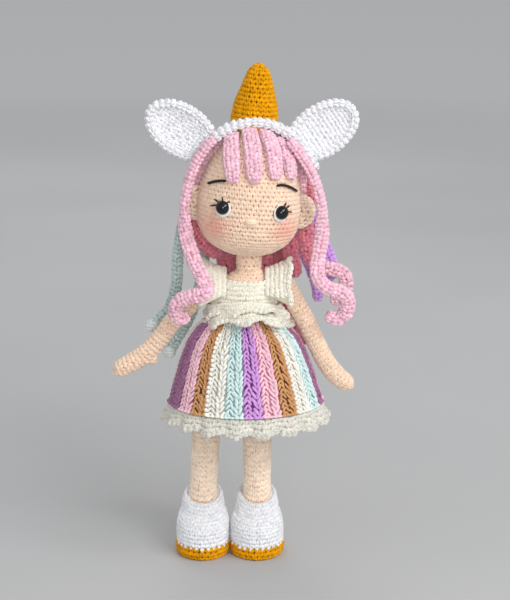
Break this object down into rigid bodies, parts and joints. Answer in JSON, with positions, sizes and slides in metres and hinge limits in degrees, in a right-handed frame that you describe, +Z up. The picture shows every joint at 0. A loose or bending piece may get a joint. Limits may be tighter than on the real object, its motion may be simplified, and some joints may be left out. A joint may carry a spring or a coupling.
{
  "type": "amigurumi doll",
  "caption": "Crocheted stuffed doll with turning head and limbs, long yarn hair, striped dress with frills, slip-on boots and a lift-off unicorn headband.",
  "frame": {"origin": "bottom centre of the bounding box, level with the underside of the boot soles", "axes": "+Z up, the doll faces -Y, its left side is +X"},
  "size_m": [0.1236, 0.0751, 0.2522],
  "materials": {
    "skin_yarn": "crocheted yarn",
    "pink_yarn": "crocheted yarn",
    "deep_pink_yarn": "crocheted yarn",
    "mint_yarn": "crocheted yarn",
    "lilac_yarn": "crocheted yarn",
    "striped_yarn": "crocheted yarn in vertical stripes",
    "white_yarn": "crocheted yarn",
    "cream_yarn": "crocheted yarn",
    "mustard_yarn": "crocheted yarn",
    "brown_thread": "embroidery thread",
    "black_eye": "polished",
    "clear_washer": "moulded",
    "wood_rod": "bare"
  },
  "bodies": {
    "torso": {"torso": "skin_yarn", "neck_rod": "wood_rod", "bodice": "cream_yarn", "left_shoulder_frill": "cream_yarn", "right_shoulder_frill": "cream_yarn", "upper_waist_frill": "cream_yarn", "lower_waist_frill": "cream_yarn", "skirt": "striped_yarn", "hem_frill": "white_yarn"},
    "head": {"head": "skin_yarn", "nose": "skin_yarn", "left_ear": "skin_yarn", "right_ear": "skin_yarn", "left_eye": "black_eye", "right_eye": "black_eye", "left_eye_white": "white_yarn", "right_eye_white": "white_yarn", "left_eye_washer": "clear_washer", "right_eye_washer": "clear_washer", "left_brow": "brown_thread", "right_brow": "brown_thread", "left_lashes": "brown_thread", "right_lashes": "brown_thread", "hair_cap": "pink_yarn", "fringe_strand_1": "pink_yarn", "fringe_strand_2": "pink_yarn", "fringe_strand_3": "pink_yarn", "fringe_strand_4": "pink_yarn", "right_front_lock": "pink_yarn", "left_front_lock": "pink_yarn", "right_side_lock": "pink_yarn", "left_side_lock": "pink_yarn", "right_mint_lock_long": "mint_yarn", "right_mint_lock_short": "mint_yarn", "left_lilac_lock_long": "lilac_yarn", "left_lilac_lock_short": "lilac_yarn", "back_lock_right": "deep_pink_yarn", "back_lock_middle": "deep_pink_yarn", "back_lock_left": "deep_pink_yarn"},
    "headband": {"headband": "white_yarn", "horn": "mustard_yarn", "left_headband_ear": "white_yarn", "right_headband_ear": "white_yarn"},
    "left_arm": {"left_arm": "skin_yarn"},
    "right_arm": {"right_arm": "skin_yarn"},
    "left_leg": {"left_leg": "skin_yarn", "left_boot": "white_yarn", "left_sole": "mustard_yarn", "left_insole": "clear_washer"},
    "right_leg": {"right_leg": "skin_yarn", "right_boot": "white_yarn", "right_sole": "mustard_yarn", "right_insole": "clear_washer"}
  },
  "joints": [
    {"name": "head_turn", "type": "hinge", "parent": "torso", "child": "head", "pos_m": [0.008, -0.0004, 0.149], "axis": [0, 0, 1], "range_deg": [-25, 25], "deforming": ["right_front_lock", "left_front_lock", "right_side_lock", "left_side_lock", "right_mint_lock_long", "right_mint_lock_short", "left_lilac_lock_long", "left_lilac_lock_short", "back_lock_right", "back_lock_middle", "back_lock_left"]},
    {"name": "headband_lift", "type": "slide", "parent": "head", "child": "headband", "axis": [0, 0, 1], "range_m": [0, 0.1]},
    {"name": "left_shoulder", "type": "hinge", "parent": "torso", "child": "left_arm", "pos_m": [0.027, -0.0004, 0.141], "axis": [0, -1, 0], "range_deg": [-2, 48]},
    {"name": "right_shoulder", "type": "hinge", "parent": "torso", "child": "right_arm", "pos_m": [-0.011, -0.0004, 0.141], "axis": [0, 1, 0], "range_deg": [-2, 30]},
    {"name": "left_hip", "type": "hinge", "parent": "torso", "child": "left_leg", "pos_m": [0.0127, -0.0004, 0.093], "axis": [-1, 0, 0], "range_deg": [-15, 30]},
    {"name": "right_hip", "type": "hinge", "parent": "torso", "child": "right_leg", "pos_m": [-0.0127, -0.0004, 0.093], "axis": [-1, 0, 0], "range_deg": [-15, 30]}
  ]
}
